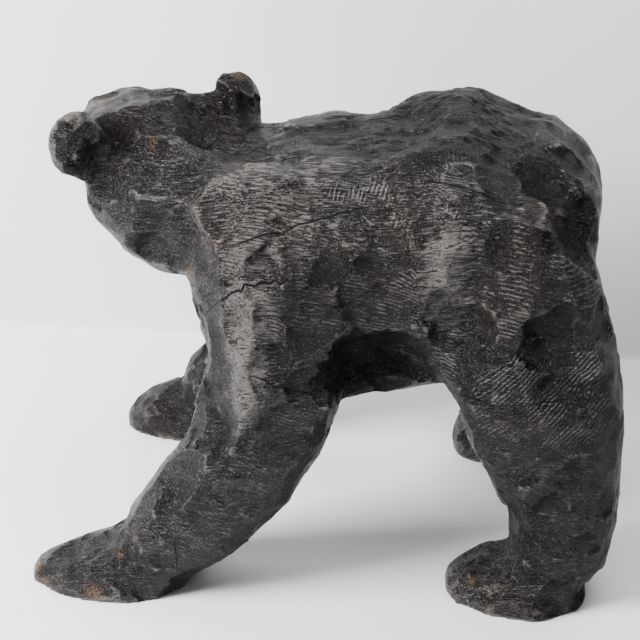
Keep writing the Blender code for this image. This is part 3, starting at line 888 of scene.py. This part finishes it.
SPOTS = (
    Spot((0.252, -0.034, 0.49), 0.016), Spot((0.238, -0.045, 0.497), 0.01),
    Spot((0.262, 0.06, 0.515), 0.012, 0.8), Spot((0.105, -0.06, 0.508), 0.009, 0.5),
    Spot((0.16, 0.03, 0.5), 0.007, 0.3), Spot((0.175, 0.055, 0.485), 0.01),
    Spot((-0.235, 0.085, 0.44), 0.006, 1.6), Spot((-0.218, 0.04, 0.48), 0.012, 0.8),
    Spot((0.313, 0.162, 0.012), 0.01), Spot((0.3, 0.18, 0.008), 0.008),
    Spot((0.237, 0.197, 0.012), 0.012, 0.8), Spot((0.21, 0.178, 0.053), 0.005, 0.7),
    Spot((-0.198, 0.11, 0.05), 0.008, 0.7), Spot((-0.167, 0.148, 0.026), 0.008, 0.6),
    Spot((0.135, 0.111, 0.366), 0.01, 0.8),
)

GOUGINGS = (
    Gouging(rounds=6, spacing=0.034, nose=0.07, sweep=0.22, depth=0.0022, tilt=0.12, wander=0.3, seed=11),
    Gouging(rounds=2, spacing=0.026, nose=0.03, sweep=0.09, depth=0.0012, tilt=0.1, wander=0.45, seed=29),
)


# --------------------------------------------------------------------------- the bear


@dataclass
class Bear:
    """The carved bear: one closed skin from floor to ears."""

    node: str = "carved_bear"
    body: str = "root"
    slot: str = "stained_wood"
    weld: float = 0.00005
    ear_root: Point = (0.228, 0.048, 0.478)
    ear_root_size: float = 0.021
    grain: float = 0.0023
    triangles: int = 196000
    reach: float = 0.012
    sole: float = 0.0004
    cut_margin: float = 0.02
    cut_step: float = 0.006
    plain_weight: float = 0.02
    far_side_ripple: float = 0.6
    sole_fade: Step = (0.002, 0.006)
    sawn_rise: Step = (0.35, 0.35)
    upward_rise: Step = (0.35, 0.30)
    blend_gain: float = 4.0
    jump_share: float = 1.15
    jump_least: float = 0.03
    crack_away: float = 0.05
    crack_step: float = 0.003
    crack_ends: float = 8.0
    crack_reach: float = 0.009
    crack_fade: float = 0.004
    spot_gain: float = 1.6
    finish: StainedWood = field(default_factory=StainedWood)
    head: HeadPlace = field(default_factory=HeadPlace)
    plain: Zone = PLAIN
    zones: tuple[Zone, ...] = ZONES
    rows: tuple[Row, ...] = ROWS
    passes: tuple[Pass, ...] = PASSES
    face: tuple[Pass, ...] = FACE
    gougings: tuple[Gouging, ...] = GOUGINGS
    cracks: tuple[Crack, ...] = CRACKS
    spots: tuple[Spot, ...] = SPOTS

    def build(self) -> bpy.types.Object:
        """Carve the skin, dress it and put it in the solid's place.

        Returns:
            The finished bear.
        """
        bear = self.rough_skin()
        self.cut(bear.data)
        self.mark_zones(bear.data)
        material = self.finish.material()
        gouges = gouge_tree()
        for gouging in self.gougings:
            use_tree(bear, gouges, gouging.values(material))
        use_tree(bear, sawn_tree(), {"Finish": material})
        thinned = bear.modifiers.new("thinned", "DECIMATE")
        thinned.ratio = self.triangles / (2 * len(bear.data.polygons))
        use_tree(bear, edge_tree(), {"Finish": material})
        mesh = baked(bear)
        bpy.data.objects.remove(bear, do_unlink=True)
        for spent in (Attribute.WAY, Attribute.SCOOP, Attribute.FIRST, Attribute.OUT):
            mesh.attributes.remove(mesh.attributes[spent.value])
        self.flatten_soles(mesh)
        self.mark_ridges(mesh)
        self.mark_cracks(mesh)
        self.mark_wear(mesh)
        mesh.materials.clear()
        mesh.materials.append(material)
        mesh.shade_smooth()
        finished = bpy.data.objects.new("bear_carving", mesh)
        bpy.context.scene.collection.objects.link(finished)
        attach(finished, self.body)
        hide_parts(self.node)
        return finished

    def rough_skin(self) -> bpy.types.Object:
        """An even, fine skin over the solid, with the root of the left ear filled out.

        Returns:
            A new object that holds it.
        """
        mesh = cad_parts[self.node].data.copy()
        solid = bmesh.new()
        solid.from_mesh(mesh)
        bmesh.ops.remove_doubles(solid, verts=solid.verts, dist=self.weld)
        bmesh.ops.create_icosphere(
            solid, subdivisions=4, radius=self.ear_root_size, matrix=Matrix.Translation(self.ear_root))
        solid.to_mesh(mesh)
        solid.free()
        skin = bpy.data.objects.new("skin", mesh)
        bpy.context.scene.collection.objects.link(skin)
        remesh = skin.modifiers.new("skin", "REMESH")
        remesh.mode = "VOXEL"
        remesh.voxel_size = self.grain
        skin.data = baked(skin)
        skin.modifiers.clear()
        return skin

    def cut(self, mesh: bpy.types.Mesh) -> None:
        """Press the skin out of the way of each deliberate pass.

        Args:
            mesh: The skin.
        """
        points, normals = measured(mesh, "co"), measured(mesh, "normal")
        tree = searched(mesh)
        rowed = [one for row in self.rows for one in row.passes()]
        for one in (*rowed, *self.passes, *self.head.passes(self.face)):
            way = np.array(one.path)
            margin = one.radius + self.cut_margin
            inside = (points > way.min(axis=0) - margin) & (points < way.max(axis=0) + margin)
            close = np.flatnonzero(inside.all(axis=1))
            nearby, outward = points[close], normals[close]
            for place, out, depth in walked(tree, one.path, one.depth, min(one.radius / 4, self.cut_step)):
                if one.facing:
                    out = np.array(Vector(one.facing).normalized())
                offset = nearby - (place + out * (one.radius - depth))
                height = offset @ out
                sideways = (offset ** 2).sum(axis=1) - height ** 2
                floor = -np.sqrt(np.clip(one.radius ** 2 - sideways, 0.0, None))
                touched = (sideways < one.radius ** 2) & (height > floor) & (outward @ out > 0.0)
                touched &= height < depth + self.reach - one.radius
                nearby[touched] += np.outer((floor - height)[touched], out)
            points[close] = nearby
        move(mesh, points)

    def mark_zones(self, mesh: bpy.types.Mesh) -> None:
        """Keep on the skin how each place is worked, blended from the zones round it.

        Args:
            mesh: The skin.
        """
        points, normals = measured(mesh, "co"), measured(mesh, "normal")
        total = np.full(len(points), self.plain_weight)
        way = np.outer(total, self.plain.way)
        scoop, ripple = total * self.plain.scoop, total * self.plain.ripple
        sawn, sheen_share = total * self.plain.sawn, total * self.plain.sheen_share
        most, second, phase = np.zeros(len(points)), np.zeros(len(points)), np.zeros(len(points))
        for zone in self.zones:
            log.debug("working the %s", zone.name)
            for side in (1.0, -1.0) if zone.both_sides else (1.0,):
                flip = np.array([1.0, side, 1.0])
                run = np.array(zone.way) * flip
                offset = (points - np.array(zone.centre) * flip) / np.array(zone.reach)
                weight = np.exp(-(offset ** 2).sum(axis=1))
                total += weight
                way += np.outer(weight, run)
                scoop += weight * zone.scoop
                ripple += weight * zone.ripple * (1.0 if side > 0 else self.far_side_ripple)
                sawn += weight * zone.sawn
                # The painted sheen share, blended like the rest.
                sheen_share += weight * zone.sheen_share
                chief = weight > most
                second[chief] = most[chief]
                second[~chief] = np.maximum(second[~chief], weight[~chief])
                most[chief] = weight[chief]
                phase[chief] = (points @ (run / np.linalg.norm(run)) / RIPPLE_PITCH)[chief]
        off_sole = step(points[:, 2], *self.sole_fade)
        upward = step(normals[:, 2], *self.upward_rise)
        clear = np.clip((most - second) / (most + second + 1e-9) * self.blend_gain, 0.0, 1.0)
        for attribute, values in (
                (Attribute.WAY, way / total[:, None]), (Attribute.SCOOP, scoop / total * off_sole),
                (Attribute.RIPPLE, ripple / total * clear), (Attribute.PHASE, phase),
                (Attribute.SHEEN_SHARE, sheen_share / total), (Attribute.SHADE, np.full(len(points), 0.5)),
                (Attribute.SAWN, step(sawn / total, *self.sawn_rise) * upward * off_sole)):
            keep(mesh, attribute, values)

    def flatten_soles(self, mesh: bpy.types.Mesh) -> None:
        """Bring what the gouges left under the feet back to one flat level.

        Args:
            mesh: The carved skin.
        """
        points = measured(mesh, "co")
        points[points[:, 2] < self.sole, 2] = 0.0
        move(mesh, np.clip(points, *(np.array(corner) for corner in CAD_BOX)))

    def mark_ridges(self, mesh: bpy.types.Mesh) -> None:
        """Keep on the skin where one stroke meets the next, so that no ripple runs across.

        Args:
            mesh: The carved skin.
        """
        points = measured(mesh, "co")
        phase = np.empty(len(points), np.float32)
        mesh.attributes[Attribute.PHASE.value].data.foreach_get("value", phase)
        ends = np.empty(len(mesh.edges) * 2, np.int32)
        mesh.edges.foreach_get("vertices", ends)
        ends = ends.reshape(-1, 2)
        length = np.linalg.norm(points[ends[:, 0]] - points[ends[:, 1]], axis=1)
        change = np.abs(phase[ends[:, 0]] - phase[ends[:, 1]])
        jump = change > self.jump_share * length / RIPPLE_PITCH + self.jump_least
        clear = np.ones(len(points))
        clear[ends[jump].ravel()] = 0.0
        keep(mesh, Attribute.CLEAR, clear)

    def mark_cracks(self, mesh: bpy.types.Mesh) -> None:
        """Keep on the skin how far to the side of the nearest crack each place is, and how near.

        Args:
            mesh: The carved skin.
        """
        points, tree = measured(mesh, "co"), searched(mesh)
        side, near = np.full(len(points), self.crack_away), np.zeros(len(points))
        nearest = np.full(len(points), np.inf)
        for crack in self.cracks:
            spots = walked(tree, crack.path, (0.0, 0.0), self.crack_step)
            for index, (place, out, _) in enumerate(spots[:-1]):
                run = spots[index + 1][0] - place
                length = np.linalg.norm(run)
                if length == 0.0:
                    continue
                run = run / length
                offset = points - place
                past = np.clip(offset @ run, 0.0, length)
                away = np.linalg.norm(offset - np.outer(past, run), axis=1)
                share = (index + past / length) / (len(spots) - 1)
                ends = np.clip(np.minimum(share, 1.0 - share) * self.crack_ends, 0.0, 1.0) ** 0.5
                fade = np.clip((self.crack_reach - away) / self.crack_fade, 0.0, 1.0)
                closer = away < nearest
                nearest[closer] = away[closer]
                side[closer] = (offset @ np.cross(run, out))[closer] * HAIR_CRACK / crack.width
                near[closer] = (ends * fade)[closer]
        keep(mesh, Attribute.CRACK_SIDE, side)
        keep(mesh, Attribute.CRACK_NEAR, near)

    def mark_wear(self, mesh: bpy.types.Mesh) -> None:
        """Keep on the skin where the stain has worn off.

        Args:
            mesh: The carved skin.
        """
        points = measured(mesh, "co")
        worn = np.zeros(len(points))
        for spot in self.spots:
            away = np.linalg.norm(points - np.array(spot.place), axis=1)
            full = np.clip(self.spot_gain - self.spot_gain * away / spot.size, 0.0, 1.0)
            worn = np.maximum(worn, spot.strength * full)
        keep(mesh, Attribute.WORN, worn)


def measured(mesh: bpy.types.Mesh, what: str) -> np.ndarray:
    """The places or the ways out of the points of a mesh.

    Args:
        mesh: The mesh.
        what: "co" for the places and "normal" for the ways out.

    Returns:
        One row for each point.
    """
    values = np.empty(len(mesh.vertices) * 3, np.float32)
    mesh.vertices.foreach_get(what, values)
    return values.reshape(-1, 3).astype(float)


def move(mesh: bpy.types.Mesh, points: np.ndarray) -> None:
    """Put the points of a mesh in new places."""
    mesh.vertices.foreach_set("co", points.astype(np.float32).ravel())
    mesh.update()


def searched(mesh: bpy.types.Mesh) -> BVHTree:
    """A search tree over the faces of a mesh."""
    faces = [tuple(face.vertices) for face in mesh.polygons]
    return BVHTree.FromPolygons(measured(mesh, "co").tolist(), faces)


def step(values: np.ndarray, start: float, width: float) -> np.ndarray:
    """A straight step from 0 at its start to 1 after its width."""
    return np.clip((values - start) / width, 0.0, 1.0)


def keep(mesh: bpy.types.Mesh, attribute: Attribute, values: np.ndarray) -> None:
    """Store a number or a vector for each point of a mesh.

    Args:
        mesh: The mesh.
        attribute: What the values are.
        values: One value or one row for each point.
    """
    if attribute.value in mesh.attributes:
        mesh.attributes.remove(mesh.attributes[attribute.value])
    layer = mesh.attributes.new(attribute.value, attribute.kind, "POINT")
    field_name = "value" if attribute.kind == "FLOAT" else "vector"
    layer.data.foreach_set(field_name, values.astype(np.float32).ravel())


def walked(tree: BVHTree, path: Sequence[Point], depth: tuple[float, float],
           longest: float) -> list[tuple[np.ndarray, np.ndarray, float]]:
    """Short steps over a skin along a path.

    Args:
        tree: The skin.
        path: The places that the path runs by.
        depth: A depth at the start and at the end.
        longest: The longest step.

    Returns:
        The place, the way out and the depth at each step.
    """
    corners = [Vector(point) for point in path]
    lengths = [(after - before).length for before, after in zip(corners, corners[1:])]
    spots, done = [], 0.0
    for before, after, length in zip(corners, corners[1:], lengths):
        count = max(1, math.ceil(length / longest))
        for index in range(count):
            spots.append((before.lerp(after, index / count), (done + length * index / count) / sum(lengths)))
        done += length
    found = []
    for spot, share in (*spots, (corners[-1], 1.0)):
        place, out, _, _ = tree.find_nearest(spot)
        found.append((np.array(place), np.array(out), depth[0] + (depth[1] - depth[0]) * share))
    return found


# --------------------------------------------------------------------------- studio


@dataclass(frozen=True)
class Lamp:
    """A soft square lamp, with its width in metres and its power in watts."""

    name: str
    place: Point
    aim: Point
    width: float
    power: float

    def hang(self) -> None:
        """Hang the lamp in its place and turn it to its aim."""
        data = bpy.data.lights.new(self.name, "AREA")
        data.size = self.width
        data.energy = self.power
        lamp = bpy.data.objects.new(self.name, data)
        lamp.location = self.place
        lamp.rotation_euler = (Vector(self.aim) - Vector(self.place)).to_track_quat("-Z", "Y").to_euler()
        bpy.context.scene.collection.objects.link(lamp)


@dataclass
class Studio:
    """A pale floor and wall, soft light and the camera.

    The floor darkens along the dark way, from the first to the second distance of dark_from: painted shade,
    out of view, which the bear's glossy sides reflect.
    """

    wall: float = -0.360
    cove: float = 0.008
    far: float = 3.0
    half_width: float = 4.0
    pale: Colour = (0.72, 0.72, 0.73, 1.0)
    # Painted shade: the floor out in front of the bear, out of view, is painted this dark so that the bear's
    # sides reflect shade.
    dark: Colour = (0.04, 0.04, 0.04, 1.0)
    dark_way: Point = (-0.55, 0.83, 0.0)
    dark_from: Step = (0.42, 0.70)
    matt: float = 0.8
    air: float = 0.02
    camera_aim: Point = (0.013, -0.008, 0.250)
    camera_turn: float = 186.0
    camera_rise: float = 31.0
    camera_away: float = 1.55
    lens: float = 78.75
    lamps: tuple[Lamp, ...] = (
        Lamp("key", (1.80, 0.85, 1.50), (0.05, 0.05, 0.25), 0.95, 222.0),
        Lamp("top", (-0.45, 0.10, 1.50), (-0.38, -0.36, 0.45), 0.9, 20.0),
        Lamp("crown", (0.45, 0.75, 1.90), (0.05, 0.10, 0.40), 0.6, 7.0),
        Lamp("fill", (0.95, 1.22, 0.24), (0.05, 0.15, 0.32), 0.4, 6.0),
    )

    def build(self) -> None:
        """Set up the floor, the air, the lamps and the camera."""
        self.floor()
        self.sky()
        for lamp in self.lamps:
            lamp.hang()
        self.camera()

    def floor(self) -> None:
        """A pale floor and wall, the floor painted dark out in front as painted shade for the bear's sides to
        reflect, and the wall open from behind.
        """
        mesh = bpy.data.meshes.new("floor")
        sweep = bmesh.new()
        profile = ((self.far, 0.0), (self.wall + self.cove, 0.0), (self.wall + self.cove / 4, self.cove / 4),
                   (self.wall, self.cove), (self.wall, self.far))
        rows = [[sweep.verts.new((x, y, z)) for x in (-self.half_width, self.half_width)] for y, z in profile]
        for low, high in zip(rows, rows[1:]):
            sweep.faces.new((low[0], high[0], high[1], low[1]))
        sweep.to_mesh(mesh)
        sweep.free()
        material, graph, shader = new_finish("floor")
        away = graph.ramp(graph.vector("DOT_PRODUCT", graph.place(), self.dark_way), *self.dark_from)
        graph.feed(shader.inputs["Base Color"], graph.mixed(away, self.pale, self.dark))
        shader.inputs["Roughness"].default_value = self.matt
        open_back = graph.take("ShaderNodeMixShader", {
            0: graph.add("ShaderNodeNewGeometry").outputs["Backfacing"], 1: shader.outputs[0],
            2: graph.take("ShaderNodeBsdfTransparent")})
        graph.feed(material.node_tree.nodes["Material Output"].inputs["Surface"], open_back)
        mesh.materials.append(material)
        floor = bpy.data.objects.new("floor", mesh)
        bpy.context.scene.collection.objects.link(floor)

    def sky(self) -> None:
        """Even light from all round."""
        world = bpy.data.worlds.new("studio")
        world.use_nodes = True
        background = world.node_tree.nodes["Background"]
        background.inputs["Color"].default_value = (1.0, 1.0, 1.0, 1.0)
        background.inputs["Strength"].default_value = self.air
        bpy.context.scene.world = world

    def camera(self) -> None:
        """The camera: behind the bear's left shoulder, looking down at it."""
        turn, rise = math.radians(self.camera_turn), math.radians(self.camera_rise)
        back = Vector((math.sin(turn) * math.cos(rise), -math.cos(turn) * math.cos(rise), math.sin(rise)))
        data = bpy.data.cameras.new("camera")
        data.lens = self.lens
        camera = bpy.data.objects.new("camera", data)
        camera.location = Vector(self.camera_aim) + back * self.camera_away
        camera.rotation_euler = (-back).to_track_quat("-Z", "Y").to_euler()
        bpy.context.scene.collection.objects.link(camera)
        bpy.context.scene.camera = camera


def main() -> None:
    """Build the bear and the studio, and note the sizes."""
    logging.basicConfig(level=logging.INFO, format="%(name)s: %(message)s")
    bear = Bear().build()
    log.info("%s: %d triangles", bear.name, sum(len(face.vertices) - 2 for face in bear.data.polygons))
    Studio().build()


if __name__ == "__main__":
    main()
